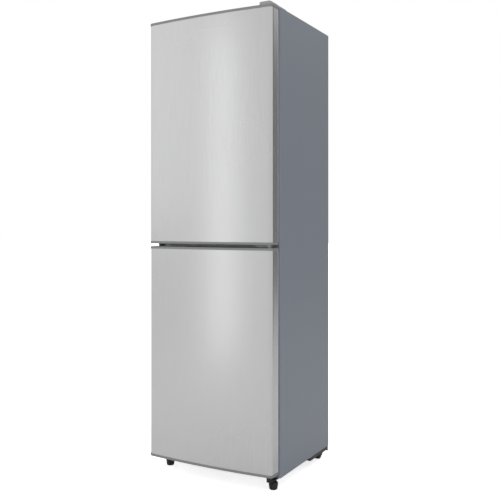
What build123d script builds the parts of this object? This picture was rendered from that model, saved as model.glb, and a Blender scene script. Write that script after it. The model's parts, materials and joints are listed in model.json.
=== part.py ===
"""A tall, narrow bottom freezer refrigerator with two bowed doors, taken apart piece by piece.

Frame: origin on the floor under the middle of the cabinet, +X to the right of someone facing
the doors, the doors face -Y, +Z up.  Everything is in millimetres.
"""
import os

from build123d import *

os.makedirs("parts", exist_ok=True)

# ---------------------------------------------------------------- overall size
WIDTH = 495.0  # cabinet, side to side
DEPTH = 479.6  # crown of the bowed end caps to the back panel
HEIGHT = 1601.0  # floor to cabinet top
UNDERSIDE = 39.5  # floor to the cabinet's lower edge
# ---------------------------------------------------------------- doors
DOOR_BOW = 11.7  # how far the door front swells between its edges
DOOR_DEPTH = 45.0  # door front at its edges to the door's rear face
DOOR_INSET = 1.8  # door skin set in from the cabinet side
CORNER_R = 13.0  # vertical door edges
CAP_PROUD = 1.6  # how far an end cap stands out of the skin
CAP_BAND = 8.0  # height of an end cap's visible band
CAP_PLUG = 16.0  # how deep an end cap reaches into the door
CAP_REAR_R = 4.0  # rear corners of a cap, clear of the cabinet as the door turns
SEAL_GAP = 10.0  # door's rear face to the cabinet front
LOWER_DOOR_Z = 56.0  # underside of the lower door
SPLIT_Z = 804.0  # top of the lower door
DOOR_GAP = 10.5  # between the doors
TOP_STEP = 2.0  # upper door's top below the cabinet top
SKIN = 0.8  # door sheet
GRIP_W = 120.0  # finger grips in the caps at the gap
GRIP_DEEP = 12.0
GRIP_BACK = 20.0
# ---------------------------------------------------------------- hinges
HINGE_SIDE = 23.0  # pin axis in from the cabinet side
HINGE_BACK = 23.0  # pin axis behind the door's front edge
PIN_R = 4.0
PIN_IN_DOOR = 13.0  # length of pin inside a door bush
BUSH_R = 7.0
BUSH_RIM = 1.2  # bush flange under the hinge
PLATE = 3.0  # hinge steel
ARM_R = 8.0  # rounded end of a hinge arm
SCREW_R = 4.5  # screw heads
# ---------------------------------------------------------------- cabinet
SHEET = 1.0  # outer steel
FLANGE = 36.0  # steel turned in round the front
FRONT_R = 5.0  # fold at the cabinet's front edges
LINER = 2.0  # inner plastic
LIP = 6.0  # liner edge tucked behind the steel
FRIDGE_WALL = 38.0
FREEZER_WALL = 52.0
FRIDGE_BACK = 45.0
FREEZER_BACK = 52.0
FRIDGE_FLOOR_Z = 850.0
FREEZER_TOP_Z = 768.0
FREEZER_FLOOR_Z = 92.0
LINER_R = 14.0  # inner corners of the liners
BAY_DEPTH = 150.0  # machine bay, front to back
BAY_TOP_Z = 245.0
BAY_WALL = 48.0  # foam between bay and freezer
BEAD = 2.0  # pressed beads on the back panel
# ---------------------------------------------------------------- running gear
FOOT_R = 16.0
FOOT_BASE_R = 13.5
FOOT_H = 26.0
FOOT_STEM_R = 5.0
FOOT_IN = 26.5  # foot axis in from the cabinet side
ROLLER_SIDE = 23.0  # roller middle in from the cabinet side
LEFT_FOOT_BACK = 37.0  # left foot behind the cabinet front
ROLLER_R = 20.0
ROLLER_W = 24.0
ROLLER_IN = 51.0  # roller axle in from the back
AXLE_R = 4.0
DECK_Z = 26.0  # underside of the compressor deck
DECK = 2.0
# ---------------------------------------------------------------- machine
COMPRESSOR_L = 160.0
COMPRESSOR_W = 112.0
COMPRESSOR_LOW_H = 78.0  # lower shell
COMPRESSOR_HIGH_H = 62.0  # upper shell
COMPRESSOR_X = 30.0
MOUNT_H = 14.0  # rubber mounts
PIPE_R = 3.0
COIL_R = 2.5  # condenser tube inside the steel sides
# ---------------------------------------------------------------- inside
SHELF_DEPTH = 252.0
SHELF_BACK = 10.0  # shelf to the liner's back wall
SHELF_COUNT = 3
GLASS = 4.0
SHELF_SIDE = 2.0  # shelf to the liner's side wall
TRIM_H = 11.0  # edge trims of the glass shelves
TRIM_D = 13.0
RIB = 7.0  # ledges that carry shelves
CRISPER_H = 168.0
CRISPER_BACK = 110.0  # crisper front behind the cabinet front
DRAWER_SIDE = 21.5  # drawer front to the freezer liner's side
DRAWER_FRONT = 30.0  # drawer front behind the cabinet front
EVAP_UPPER_ZS = (530.0, 757.0)  # tube centres of the upper cooling shelves
EVAP_SIDE = 5.0  # cooling shelf to the liner's side wall
TUBE_R = 4.0
WIRE_R = 1.2
BIN_WALL = 2.0
RACK_AIR = 14.0  # door racks to the shelves
RACK_SIDE_AIR = 10.0  # door racks to the ridges
RACK_OVER = 4.5  # lowest rack over the lower ridge
RACK_HS = (110.0, 70.0, 60.0)
DYKE_FRIDGE = 30.0  # door liner ridge behind the cabinet front
DYKE_FREEZER = 20.0
DYKE_W = 28.0
DYKE_MARGIN = 12.0  # ridge to the seal
DYKE_AIR = 9.5  # ridge to the cabinet liner's side
# ---------------------------------------------------------------- clearances
SEAT = 0.3  # between a loose piece and its seat
RUN = 0.05  # radial, pin in bush

# ---------------------------------------------------------------- derived places
HALF = WIDTH / 2
EDGE_Y = -DEPTH / 2 + CAP_PROUD + DOOR_BOW  # door front at its vertical edges
DOOR_BACK_Y = EDGE_Y + DOOR_DEPTH
FRONT_Y = DOOR_BACK_Y + SEAL_GAP  # cabinet front plane
BACK_Y = DEPTH / 2
UPPER_DOOR_Z = SPLIT_Z + DOOR_GAP
UPPER_TOP_Z = HEIGHT - TOP_STEP
SKIN_HALF = HALF - DOOR_INSET
PIN_X = HALF - HINGE_SIDE
PIN_Y = EDGE_Y + HINGE_BACK
FRIDGE_HALF = HALF - FRIDGE_WALL
FREEZER_HALF = HALF - FREEZER_WALL
FRIDGE_TOP_Z = HEIGHT - FRIDGE_WALL
FRIDGE_REAR_Y = BACK_Y - FRIDGE_BACK
FREEZER_REAR_Y = BACK_Y - FREEZER_BACK
BAY_Y = BACK_Y - BAY_DEPTH  # bay's front wall
STEP_Y = BAY_Y - BAY_WALL  # freezer's wall in front of the bay
STEP_Z = BAY_TOP_Z + BAY_WALL
ROLLER_Y = BACK_Y - ROLLER_IN
LIP_Y = FRONT_Y + SHEET  # liner lips lie behind the steel
SEAL_INSET = HINGE_SIDE  # seal in from the cabinet side and door ends, never outside the pin
SEAL_W = 14.0
OPENING_HALF = HALF - FLANGE
PANEL_IN_Y = BACK_Y - SHEET - BEAD  # foam side of the back panel
FOOT_X = HALF - FOOT_IN
ROLLER_X = HALF - ROLLER_SIDE
DRAWER_HALF = FREEZER_HALF - DRAWER_SIDE
DYKE_FRIDGE_HALF = FRIDGE_HALF - DYKE_AIR
DYKE_FREEZER_HALF = FREEZER_HALF - DYKE_AIR
CRISPER_LID_Z = FRIDGE_FLOOR_Z + CRISPER_H + 8
SHELF_PITCH = (FRIDGE_TOP_Z - CRISPER_LID_Z) / (SHELF_COUNT + 1)
SHELF_ZS = [CRISPER_LID_Z + (count + 1) * SHELF_PITCH for count in range(SHELF_COUNT)]
SHELF_FRONT_Y = FRIDGE_REAR_Y - SHELF_BACK - SHELF_DEPTH
RACK_Y = DOOR_BACK_Y + SEAT
RACK_DEPTH = SHELF_FRONT_Y - RACK_AIR - RACK_Y
RACK_HALF = DYKE_FRIDGE_HALF - DYKE_W - RACK_SIDE_AIR
DYKE_IN = SEAL_INSET + SEAL_W + DYKE_MARGIN  # ridge in from a door's ends
RACK_LOW_Z = UPPER_DOOR_Z + DYKE_IN + DYKE_W + RACK_OVER
RACK_PITCH = (UPPER_TOP_Z - DYKE_IN - DYKE_W - RACK_LOW_Z) / len(RACK_HS)
RACK_ZS = [RACK_LOW_Z + count * RACK_PITCH for count in range(len(RACK_HS))]  # undersides
INNER_HALF = HALF - SHEET  # between the steel sides
EVAP_ZS = (STEP_Z + SEAT + TUBE_R, *EVAP_UPPER_ZS)  # the lowest shelf lies over the step


def across(y):
    """Plane square to the depth at y, seen from the front."""
    return Plane.XZ.offset(-y)


def side(x):
    """Plane square to the width at x, seen from the right."""
    return Plane.YZ.offset(x)


def level(z):
    """Horizontal plane at height z."""
    return Plane.XY.offset(z)


def slab(x, y, z, mode=Mode.ADD):
    """A straight block filling three (low, high) ranges, in the piece being built."""
    with Locations(((x[0] + x[1]) / 2, (y[0] + y[1]) / 2, (z[0] + z[1]) / 2)):
        Box(x[1] - x[0], y[1] - y[0], z[1] - z[0], mode=mode)


def rod(at, axis, radius, length, mode=Mode.ADD):
    """A round bar that starts at a point and runs along an axis."""
    with BuildSketch(Plane(origin=at, z_dir=axis)) as section:
        Circle(radius)
    extrude(section.sketch, amount=length, mode=mode)


def centred(u, v, width, height, radius, mode=Mode.ADD):
    """A rounded rectangle centred on a point of the sketch."""
    with Locations((u, v)):
        RectangleRounded(width, height, radius, mode=mode)


def save(piece, name):
    """Name a finished piece and write it."""
    piece.part.label = name
    export_step(piece.part, f"parts/{name}.step")


# ================================================================ cabinet shell
with BuildPart() as outer_shell:
    # Sides and top are one sheet folded over, its front edge turned in to a flange.
    slab((-HALF, HALF), (FRONT_Y, BACK_Y), (UNDERSIDE, HEIGHT))
    fillet(outer_shell.faces().sort_by(Axis.Y)[0].edges().sort_by(Axis.Z)[1:], FRONT_R)
    open_faces = [outer_shell.faces().sort_by(Axis.Z)[0], outer_shell.faces().sort_by(Axis.Y)[-1]]
    offset(amount=-SHEET, openings=open_faces)
    with BuildSketch(across(FRONT_Y)):
        with Locations((0, (UNDERSIDE + HEIGHT - FLANGE) / 2)):
            Rectangle(2 * OPENING_HALF, HEIGHT - FLANGE - UNDERSIDE)
    extrude(amount=-(SHEET + FRONT_R), mode=Mode.SUBTRACT)
save(outer_shell, "outer_shell")

with BuildPart() as back_panel:
    # Thin sheet behind the foam, stiffened by three pressed upright beads.
    slab((-INNER_HALF, INNER_HALF), (PANEL_IN_Y, PANEL_IN_Y + SHEET), (BAY_TOP_Z, HEIGHT - SHEET))
    with BuildSketch(across(PANEL_IN_Y + SHEET)):
        with GridLocations(WIDTH / 4, 0, 3, 1):
            centred(0, (BAY_TOP_Z + HEIGHT) / 2, WIDTH / 8, HEIGHT - BAY_TOP_Z - 120, 12)
    extrude(amount=-BEAD, taper=40)
save(back_panel, "back_panel")

DRAIN_R = 7.0
DRAIN_WALL = 1.5
DRAIN_Y = FRIDGE_REAR_Y + LINER + DRAIN_R + 6
with BuildPart() as machine_bay_panel:
    # One sheet closes the foam underneath and steps up over the machine bay.
    with BuildSketch(side(-INNER_HALF)):
        with BuildLine():
            Polyline(
                (FRONT_Y + FRONT_R, UNDERSIDE + SHEET / 2),
                (BAY_Y - SHEET / 2, UNDERSIDE + SHEET / 2),
                (BAY_Y - SHEET / 2, BAY_TOP_Z - SHEET / 2),
                (BACK_Y - BEAD, BAY_TOP_Z - SHEET / 2),
            )
        trace(line_width=SHEET)
    extrude(amount=2 * INNER_HALF)
    rod((0, DRAIN_Y, BAY_TOP_Z - 2 * SHEET), (0, 0, 1), DRAIN_R, 3 * SHEET, mode=Mode.SUBTRACT)
save(machine_bay_panel, "machine_bay_panel")


def freezer_form(grow):
    """The freezer's inner space grown by a distance: a box that steps over the bay."""
    with BuildPart() as form:
        with BuildSketch(side(-FREEZER_HALF - grow)):
            with BuildLine():
                Polyline(
                    (LIP_Y, FREEZER_FLOOR_Z - grow),
                    (STEP_Y + grow, FREEZER_FLOOR_Z - grow),
                    (STEP_Y + grow, STEP_Z - grow),
                    (FREEZER_REAR_Y + grow, STEP_Z - grow),
                    (FREEZER_REAR_Y + grow, FREEZER_TOP_Z + grow),
                    (LIP_Y, FREEZER_TOP_Z + grow),
                    close=True,
                )
            make_face()
        extrude(amount=2 * (FREEZER_HALF + grow))
        fillet(form.edges().filter_by(Axis.Z).sort_by(Axis.Y)[2:], LINER_R + grow)
    return form.part


def fridge_form(grow):
    """The fridge's inner space grown by a distance."""
    with BuildPart() as form:
        with BuildSketch(across(LIP_Y)):
            centred(0, (FRIDGE_FLOOR_Z + FRIDGE_TOP_Z) / 2, 2 * (FRIDGE_HALF + grow),
                    FRIDGE_TOP_Z - FRIDGE_FLOOR_Z + 2 * grow, LINER_R + grow)
        extrude(amount=-(FRIDGE_REAR_Y + grow - LIP_Y))
        fillet(form.faces().sort_by(Axis.Y)[-1].edges(), LINER_R + grow - 1)
    return form.part


def ledge(x, y, z, length, reach):
    """A moulded side ledge on the wall at x, its top at z, reaching inwards."""
    with BuildSketch(side(x)) as rib:
        with Locations((y, z - RIB / 2)):
            SlotOverall(length, RIB)
    extrude(rib.sketch, amount=reach if x < 0 else -reach)


fridge_space, fridge_outside = fridge_form(0), fridge_form(LINER)
freezer_space, freezer_outside = freezer_form(0), freezer_form(LINER)
SHELF_MID_Y = FRIDGE_REAR_Y - SHELF_BACK - SHELF_DEPTH / 2
GUTTER_Z = CRISPER_LID_Z + 40
with BuildPart() as fridge_liner:
    add(fridge_outside)
    with BuildSketch(across(LIP_Y)):
        with Locations((0, (FRIDGE_FLOOR_Z + FRIDGE_TOP_Z) / 2)):
            Rectangle(2 * (OPENING_HALF + LIP), FRIDGE_TOP_Z - FRIDGE_FLOOR_Z + 2 * LIP)
    extrude(amount=-LINER)
    add(fridge_space, mode=Mode.SUBTRACT)
    for ledge_z in (*SHELF_ZS, CRISPER_LID_Z):
        for wall in (-FRIDGE_HALF, FRIDGE_HALF):
            ledge(wall, SHELF_MID_Y, ledge_z - SEAT, SHELF_DEPTH - 2 * TRIM_D - 4, RIB)
    # Gutter that catches the meltwater of the back wall.
    with BuildSketch(side(-FRIDGE_HALF + 40)):
        with BuildLine():
            Polyline(
                (FRIDGE_REAR_Y + 0.5, GUTTER_Z + 12),
                (FRIDGE_REAR_Y + 0.5, GUTTER_Z - 12),
                (FRIDGE_REAR_Y - 3, GUTTER_Z - 8),
                (FRIDGE_REAR_Y - 3, GUTTER_Z + 4),
                close=True,
            )
        make_face()
    extrude(amount=2 * FRIDGE_HALF - 80)
save(fridge_liner, "fridge_liner")

EVAP_FRONT_Y = FRONT_Y + DRAWER_FRONT + 16
EVAP_REAR_Y = FREEZER_REAR_Y - 8
with BuildPart() as freezer_liner:
    add(freezer_outside)
    with BuildSketch(across(LIP_Y)):
        with Locations((0, (FREEZER_FLOOR_Z + FREEZER_TOP_Z) / 2)):
            Rectangle(2 * (OPENING_HALF + LIP), FREEZER_TOP_Z - FREEZER_FLOOR_Z + 2 * LIP)
    extrude(amount=-LINER)
    add(freezer_space, mode=Mode.SUBTRACT)
    for ledge_z in EVAP_ZS:
        ledge_y = (EVAP_FRONT_Y + 10, (EVAP_REAR_Y - 32 if ledge_z > STEP_Z + RIB + TUBE_R else STEP_Y - 10))
        for wall in (-FREEZER_HALF, FREEZER_HALF):
            ledge(wall, (ledge_y[0] + ledge_y[1]) / 2, ledge_z - TUBE_R - SEAT,
                  ledge_y[1] - ledge_y[0], EVAP_SIDE + 9)
save(freezer_liner, "freezer_liner")


# ================================================================ tubes
def tube(points, radius, bend):
    """A bent tube along straight runs joined by round bends."""
    with BuildLine() as route:
        FilletPolyline(*points, radius=bend)
    with BuildSketch(Plane(origin=route.line @ 0, z_dir=route.line % 0)) as section:
        Circle(radius)
    sweep(section.sketch, path=route.line)


def to_and_fro(runs, pitch, length):
    """Corner points (along, over) of a tube laid to and fro."""
    points = []
    for run in range(runs):
        ends = (0, length) if run % 2 == 0 else (length, 0)
        points += [(ends[0], run * pitch), (ends[1], run * pitch)]
    return points


CONDENSER_Z = STEP_Z + 40
CONDENSER_TALL = HEIGHT - 160 - CONDENSER_Z
CONDENSER_PITCH = 46.0
CONDENSER_RUNS = 6
with BuildPart() as condenser_coil:
    # The warm tube is taped to the inside of both steel sides, upright runs with round bends.
    for x in (-INNER_HALF + COIL_R, INNER_HALF - COIL_R):
        tube([(x, BACK_Y - 60 - over, CONDENSER_Z + along)
              for along, over in to_and_fro(CONDENSER_RUNS, CONDENSER_PITCH, CONDENSER_TALL)],
             COIL_R, 22)
save(condenser_coil, "condenser_coil")

COLD_PLATE_HALF = 150.0
COLD_PLATE_Z = (GUTTER_Z + 54, FRIDGE_TOP_Z - 83)
COLD_PITCH = (COLD_PLATE_Z[1] - COLD_PLATE_Z[0] - 60) / 6
with BuildPart() as fridge_evaporator:
    # A cold plate with its tube lies against the outside of the fridge's back wall.
    cold_y = FRIDGE_REAR_Y + LINER
    slab((-COLD_PLATE_HALF, COLD_PLATE_HALF), (cold_y, cold_y + 1), COLD_PLATE_Z)
    tube([(-COLD_PLATE_HALF + 20 + along, cold_y + 1 + PIPE_R - 0.5, COLD_PLATE_Z[0] + 30 + over)
          for along, over in to_and_fro(7, COLD_PITCH, 2 * COLD_PLATE_HALF - 40)], PIPE_R, 0.4 * COLD_PITCH)
save(fridge_evaporator, "fridge_evaporator")

DRIP_TRAY_TOP = BAY_TOP_Z - 12
with BuildPart() as drain_tube:
    # Meltwater runs from the gutter down inside the foam and out over the drip tray.
    rod((0, DRAIN_Y, DRIP_TRAY_TOP - 12), (0, 0, 1), DRAIN_R, GUTTER_Z - DRIP_TRAY_TOP + 12)
    rod((0, DRAIN_Y + 0.01, GUTTER_Z - DRAIN_R), (0, -1, 0), DRAIN_R - 1, DRAIN_Y - FRIDGE_REAR_Y - LINER)
    rod((0, DRAIN_Y, DRIP_TRAY_TOP - 12), (0, 0, 1), DRAIN_R - DRAIN_WALL, GUTTER_Z - DRIP_TRAY_TOP,
        mode=Mode.SUBTRACT)
save(drain_tube, "drain_tube")

with BuildPart() as cabinet_foam:
    # Everything between the steel and the liners is foamed in place.
    slab((-INNER_HALF, INNER_HALF), (LIP_Y + LINER, PANEL_IN_Y), (UNDERSIDE + SHEET, HEIGHT - SHEET))
    fillet(cabinet_foam.faces().sort_by(Axis.Y)[0].edges().sort_by(Axis.Z)[1:], FRONT_R)
    slab((-INNER_HALF, INNER_HALF), (BAY_Y - SHEET, PANEL_IN_Y), (UNDERSIDE + SHEET, BAY_TOP_Z),
         mode=Mode.SUBTRACT)
    add(fridge_outside, mode=Mode.SUBTRACT)
    add(freezer_outside, mode=Mode.SUBTRACT)
    add(condenser_coil.part, mode=Mode.SUBTRACT)
    slab((-COLD_PLATE_HALF, COLD_PLATE_HALF), (FRIDGE_REAR_Y, FRIDGE_REAR_Y + LINER + 1 + 2 * PIPE_R),
         COLD_PLATE_Z, mode=Mode.SUBTRACT)
    rod((0, DRAIN_Y, BAY_TOP_Z - SHEET), (0, 0, 1), DRAIN_R, GUTTER_Z - BAY_TOP_Z + SHEET, mode=Mode.SUBTRACT)
    rod((0, DRAIN_Y, GUTTER_Z - DRAIN_R), (0, -1, 0), DRAIN_R - 1, DRAIN_Y - FRIDGE_REAR_Y, mode=Mode.SUBTRACT)
save(cabinet_foam, "cabinet_foam")

# ================================================================ front frame and hinges
MULLION_Z = (FREEZER_TOP_Z + 2, FRIDGE_FLOOR_Z - 2)
with BuildPart() as mullion_bar:
    # Crossbar between the side flanges.
    slab((-OPENING_HALF, OPENING_HALF), (FRONT_Y, LIP_Y), MULLION_Z)
save(mullion_bar, "mullion_bar")

with BuildPart() as bottom_rail:
    # The bottom crossbar turns back under the cabinet and carries the front foot and hinge.
    slab((-OPENING_HALF, OPENING_HALF), (FRONT_Y, LIP_Y), (UNDERSIDE, FREEZER_FLOOR_Z - 2))
    slab((-INNER_HALF, INNER_HALF), (FRONT_Y + FRONT_R, FRONT_Y + 62), (UNDERSIDE - SHEET, UNDERSIDE))
    slab((-OPENING_HALF, OPENING_HALF), (FRONT_Y, FRONT_Y + FRONT_R), (UNDERSIDE - SHEET, UNDERSIDE))
    # Left foot: a pressed bracket with a tapped hole.
    with BuildSketch(level(UNDERSIDE - SHEET)):
        with Locations((-FOOT_X, FRONT_Y + LEFT_FOOT_BACK)):
            RectangleRounded(42, 42, 6)
    extrude(amount=-PLATE)
    with Locations((-FOOT_X, FRONT_Y + LEFT_FOOT_BACK, UNDERSIDE)):
        Hole(FOOT_STEM_R + RUN)
    with Locations((FOOT_X, FRONT_Y + PLATE, UNDERSIDE)):
        Hole(FOOT_STEM_R + 1)
save(bottom_rail, "bottom_rail")

HINGE_PLATE_BACK = 60.0
SCREW_SHANK = 2.0
COVER_X = (HALF - 57, HALF - 9)
COVER_REAR = 66.0
COVER_NOSE_X = (COVER_X[0], HALF - 12.5)
COVER_LOW_H = 8.5  # over the cabinet
COVER_NOSE_H = 13.5  # over the door pin
COVER_WALL = 1.6
TOP_PLATE_X = (COVER_X[0] + COVER_WALL + 1, COVER_X[1] - COVER_WALL - 1)
TOP_SCREWS = [(x, FRONT_Y + back) for x in (TOP_PLATE_X[0] + 9, TOP_PLATE_X[1] - 9) for back in (16, 48)]
BOTTOM_SCREWS = [(x, FRONT_Y + 44) for x in (PIN_X - 18, PIN_X + 6)]
with BuildPart() as top_hinge:
    # A plate on the cabinet top reaches forward over the door and drops a pin into it.
    with BuildSketch(level(HEIGHT)):
        with BuildLine():
            Polyline(
                (TOP_PLATE_X[0], FRONT_Y + HINGE_PLATE_BACK),
                (TOP_PLATE_X[0], FRONT_Y + 4),
                (PIN_X - ARM_R, PIN_Y),
            )
            ThreePointArc((PIN_X - ARM_R, PIN_Y), (PIN_X, PIN_Y - ARM_R), (PIN_X + ARM_R, PIN_Y))
            Polyline(
                (PIN_X + ARM_R, PIN_Y),
                (PIN_X + ARM_R, FRONT_Y - 2),
                (TOP_PLATE_X[1], FRONT_Y + 4),
                (TOP_PLATE_X[1], FRONT_Y + HINGE_PLATE_BACK),
                (TOP_PLATE_X[0], FRONT_Y + HINGE_PLATE_BACK),
            )
        make_face()
    extrude(amount=PLATE)
    rod((PIN_X, PIN_Y, UPPER_TOP_Z - PIN_IN_DOOR), (0, 0, 1), PIN_R, PIN_IN_DOOR + TOP_STEP + PLATE + 2)
    fillet(top_hinge.faces().sort_by(Axis.Z)[-1].edges(), 1)
    for x, y in TOP_SCREWS:
        rod((x, y, HEIGHT), (0, 0, 1), SCREW_SHANK, PLATE, mode=Mode.SUBTRACT)
save(top_hinge, "top_hinge")

GAP_MID_Z = SPLIT_Z + DOOR_GAP / 2
HINGE_SCREW_XS = (PIN_X - 53, PIN_X - 35.5, PIN_X - 18)
WALL_PLATE_X = (PIN_X - 68, PIN_X - 4)
with BuildPart() as middle_hinge:
    # A plate screwed on the crossbar carries an arm in the gap, with a pin up and a pin down.
    with BuildSketch(across(FRONT_Y)):
        with Locations(((WALL_PLATE_X[0] + WALL_PLATE_X[1]) / 2, GAP_MID_Z)):
            RectangleRounded(WALL_PLATE_X[1] - WALL_PLATE_X[0], DOOR_GAP - 1, 2)
    extrude(amount=PLATE)
    with BuildSketch(level(GAP_MID_Z - PLATE / 2)):
        with BuildLine():
            Polyline(
                (PIN_X - ARM_R, PIN_Y),
                (PIN_X - ARM_R, FRONT_Y - PLATE - 6),
                (PIN_X - ARM_R - 8, FRONT_Y),
                (PIN_X + ARM_R, FRONT_Y),
                (PIN_X + ARM_R, PIN_Y),
            )
            ThreePointArc((PIN_X - ARM_R, PIN_Y), (PIN_X, PIN_Y - ARM_R), (PIN_X + ARM_R, PIN_Y))
        make_face()
    extrude(amount=PLATE)
    rod((PIN_X, PIN_Y, SPLIT_Z - PIN_IN_DOOR), (0, 0, 1), PIN_R, 2 * PIN_IN_DOOR + DOOR_GAP)
    rod((PIN_X, PIN_Y, SPLIT_Z + BUSH_RIM + SEAT), (0, 0, 1), PIN_R + 2, DOOR_GAP - 2 * (BUSH_RIM + SEAT))
    with Locations(*[Plane(origin=(x, FRONT_Y - PLATE, GAP_MID_Z), z_dir=(0, -1, 0)).location
                     for x in HINGE_SCREW_XS]):
        Hole(SCREW_SHANK, PLATE)
save(middle_hinge, "middle_hinge")

BOTTOM_PLATE_Z = UNDERSIDE - SHEET - PLATE
with BuildPart() as bottom_hinge:
    # A plate under the cabinet reaches forward, its spacer carries the door on a pin.
    with BuildSketch(level(BOTTOM_PLATE_Z)):
        with BuildLine():
            Polyline(
                (PIN_X - 30, FRONT_Y + HINGE_PLATE_BACK),
                (PIN_X - 30, FRONT_Y + 2),
                (PIN_X - ARM_R - 2, PIN_Y),
            )
            ThreePointArc((PIN_X - ARM_R - 2, PIN_Y), (PIN_X, PIN_Y - ARM_R - 2), (PIN_X + ARM_R + 2, PIN_Y))
            Polyline(
                (PIN_X + ARM_R + 2, PIN_Y),
                (PIN_X + ARM_R + 6, FRONT_Y + 2),
                (PIN_X + ARM_R + 6, FRONT_Y + HINGE_PLATE_BACK),
                (PIN_X - 30, FRONT_Y + HINGE_PLATE_BACK),
            )
        make_face()
    extrude(amount=PLATE)
    rod((PIN_X, PIN_Y, BOTTOM_PLATE_Z), (0, 0, 1), PIN_R + 4, LOWER_DOOR_Z - BUSH_RIM - SEAT - BOTTOM_PLATE_Z)
    rod((PIN_X, PIN_Y, BOTTOM_PLATE_Z), (0, 0, 1), PIN_R, LOWER_DOOR_Z + PIN_IN_DOOR - BOTTOM_PLATE_Z)
    with Locations((FOOT_X, FRONT_Y + PLATE, BOTTOM_PLATE_Z + PLATE)):
        Hole(FOOT_STEM_R + RUN)
    for x, y in BOTTOM_SCREWS:
        rod((x, y, BOTTOM_PLATE_Z), (0, 0, 1), SCREW_SHANK, PLATE, mode=Mode.SUBTRACT)
save(bottom_hinge, "bottom_hinge")

HEAD_H = 2.2
with BuildPart() as hinge_screws:
    # Round heads on the hinge plates, each with its cross recess and shank.
    def screw(at, axis, length, head=SCREW_R, sunk=False):
        """A screw whose head bears at a point, its shank running against the axis."""
        seat = Plane(origin=at, z_dir=axis)
        rod(at, tuple(-c for c in axis), SCREW_SHANK - RUN, length)
        with BuildSketch(seat) as disc:
            Circle(head)
        extrude(disc.sketch, amount=0.8 if sunk else HEAD_H, taper=10)
        with BuildSketch(seat.offset(0.8 if sunk else HEAD_H)) as cross:
            Rectangle(head, 0.9)
            Rectangle(0.9, head)
        extrude(cross.sketch, amount=-0.6, mode=Mode.SUBTRACT)

    for x, y in TOP_SCREWS:
        screw((x, y, HEIGHT + PLATE), (0, 0, 1), PLATE)
    for x, y in BOTTOM_SCREWS:
        screw((x, y, BOTTOM_PLATE_Z), (0, 0, -1), PLATE)
    for x in HINGE_SCREW_XS:
        screw((x, FRONT_Y - PLATE, GAP_MID_Z), (0, -1, 0), PLATE, head=3.4, sunk=True)
save(hinge_screws, "hinge_screws")

with BuildPart() as top_hinge_cover:
    # Moulded hood: a low box on the cabinet top with a taller rounded nose over the door.
    with BuildSketch(level(HEIGHT + SEAT)):
        with Locations(((COVER_X[0] + COVER_X[1]) / 2, FRONT_Y + (COVER_REAR - 12) / 2)):
            RectangleRounded(COVER_X[1] - COVER_X[0], COVER_REAR + 12, 5)
    extrude(amount=COVER_LOW_H - SEAT, taper=4)
    nose_y = (EDGE_Y + 9, FRONT_Y + 22)
    with BuildSketch(level(HEIGHT + SEAT)):
        with Locations(((COVER_NOSE_X[0] + COVER_NOSE_X[1]) / 2, (nose_y[0] + nose_y[1]) / 2)):
            RectangleRounded(COVER_NOSE_X[1] - COVER_NOSE_X[0], nose_y[1] - nose_y[0], 8)
    extrude(amount=COVER_NOSE_H - SEAT, taper=6)
    fillet(top_hinge_cover.faces().sort_by(Axis.Z)[-1].edges(), 2.5)
    with BuildSketch(level(HEIGHT + SEAT)):
        with Locations(((COVER_X[0] + COVER_X[1]) / 2, FRONT_Y + (COVER_REAR - 12) / 2)):
            RectangleRounded(COVER_X[1] - COVER_X[0] - 2 * COVER_WALL, COVER_REAR + 12 - 2 * COVER_WALL, 3)
        with Locations(((COVER_NOSE_X[0] + COVER_NOSE_X[1]) / 2, (nose_y[0] + nose_y[1]) / 2)):
            RectangleRounded(COVER_NOSE_X[1] - COVER_NOSE_X[0] - 2 * COVER_WALL,
                             nose_y[1] - nose_y[0] - 2 * COVER_WALL, 6)
    extrude(amount=COVER_LOW_H - SEAT - COVER_WALL, mode=Mode.SUBTRACT)
save(top_hinge_cover, "top_hinge_cover")

with BuildPart() as hinge_hole_plug:
    # Blanks the holes left for hanging the doors on the other side.
    with BuildSketch(across(FRONT_Y)):
        with Locations((-HALF + 13, GAP_MID_Z)):
            RectangleRounded(20, DOOR_GAP - 1, 2)
    extrude(amount=PLATE, taper=12)
save(hinge_hole_plug, "hinge_hole_plug")

# ================================================================ feet and rollers
for label, foot_x, foot_y, reach in (
    ("foot_left", -FOOT_X, FRONT_Y + LEFT_FOOT_BACK, UNDERSIDE - SEAT),
    ("foot_right", FOOT_X, FRONT_Y + PLATE, UNDERSIDE - SEAT),
):
    with BuildPart() as foot:
        # A tapered foot with a rounded rim, turned up and down on its screwed stem.
        with BuildSketch(Plane.XZ):
            with BuildLine():
                Polyline((0, 0), (FOOT_BASE_R - 2, 0), (FOOT_BASE_R, 2), (FOOT_R, FOOT_H - 5))
                Polyline((FOOT_R, FOOT_H - 5), (FOOT_R - 3, FOOT_H), (FOOT_STEM_R, FOOT_H))
                Polyline((FOOT_STEM_R, FOOT_H), (FOOT_STEM_R, reach), (0, reach), (0, 0))
            make_face()
        revolve(axis=Axis.Z)
        fillet(foot.edges().group_by(Axis.Z)[-3], 2)
        foot.part.position = (foot_x, foot_y, 0)
    save(foot, label)

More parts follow.
